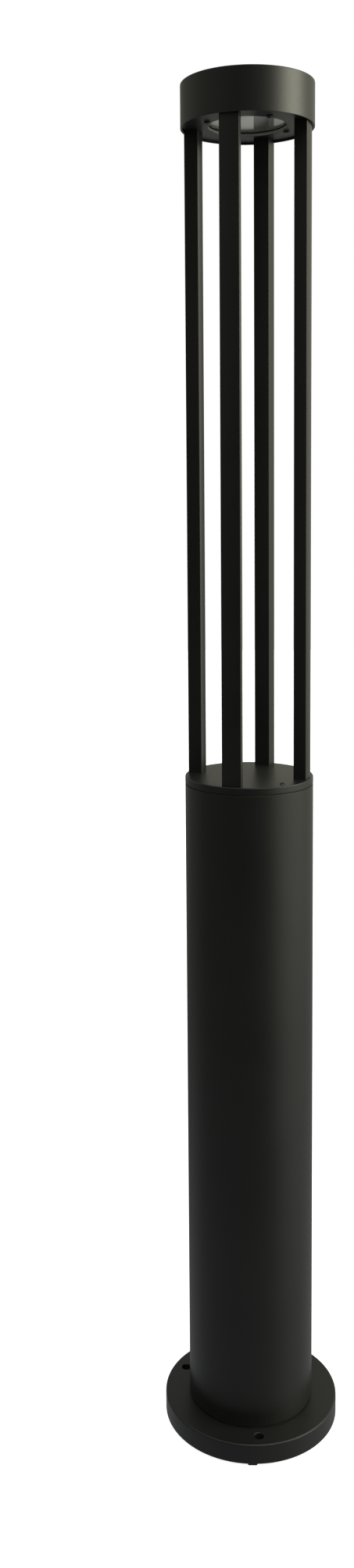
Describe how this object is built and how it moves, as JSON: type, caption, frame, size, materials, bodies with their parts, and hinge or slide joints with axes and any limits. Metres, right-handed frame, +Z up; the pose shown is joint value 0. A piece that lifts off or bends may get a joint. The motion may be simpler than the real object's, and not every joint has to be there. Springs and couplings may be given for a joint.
{
  "type": "bollard light",
  "caption": "Round bollard light: flanged column, flat deck, slim posts and a cylindrical head that shines down through a glass in its underside.",
  "frame": {"origin": "centre of the seating plane under the pads of the base flange", "axes": "+Z up along the column's axis; -Y towards the first anchor hole; +X to the right when seen from -Y"},
  "size_m": [0.159, 0.159, 1.2],
  "materials": {
    "powder_coat": "satin charcoal powder coat with a fine texture",
    "rubber": "black moulded rubber",
    "steel": "stainless steel",
    "galvanised": "galvanised sheet",
    "cast": "plain cast aluminium",
    "reflector": "bright anodised spun aluminium",
    "glass": "clear toughened glass",
    "board": "white solder mask",
    "phosphor": "yellow phosphor",
    "box": "grey polyamide",
    "driver": "off-white polycarbonate",
    "brass": "plain brass",
    "cable": "black cable sheath",
    "earth": "green and yellow insulation"
  },
  "bodies": {
    "root": {"base_flange": "powder_coat", "seating_pads": "rubber", "flange_screws": "steel", "base_gasket": "rubber", "column_tube": "powder_coat", "gear_tray": "galvanised", "tray_screws": "steel", "terminal_box": "box", "terminal_lid": "box", "terminal_block": "board", "inlet_gland": "rubber", "outlet_gland": "rubber", "earth_screw": "brass", "earth_lead": "earth", "led_driver": "driver", "driver_screws": "steel", "driver_lead": "cable", "lamp_lead": "cable", "deck_plate": "powder_coat", "deck_gasket": "rubber", "vent_plug": "steel", "front_post": "powder_coat", "right_post": "powder_coat", "back_post": "powder_coat", "left_post": "powder_coat", "tie_rods": "steel", "rod_nuts": "steel", "lead_nipples": "steel", "carrier_plate": "powder_coat", "head_seal": "rubber", "lens_gasket": "rubber", "lens_glass": "glass", "clamp_ring": "cast", "clamp_screws": "steel", "reflector": "reflector", "led_board": "board", "led_chip": "phosphor", "board_screws": "steel", "heat_spreader": "cast", "spreader_screws": "steel", "head_cap": "powder_coat", "cap_screws": "steel"}
  },
  "joints": []
}
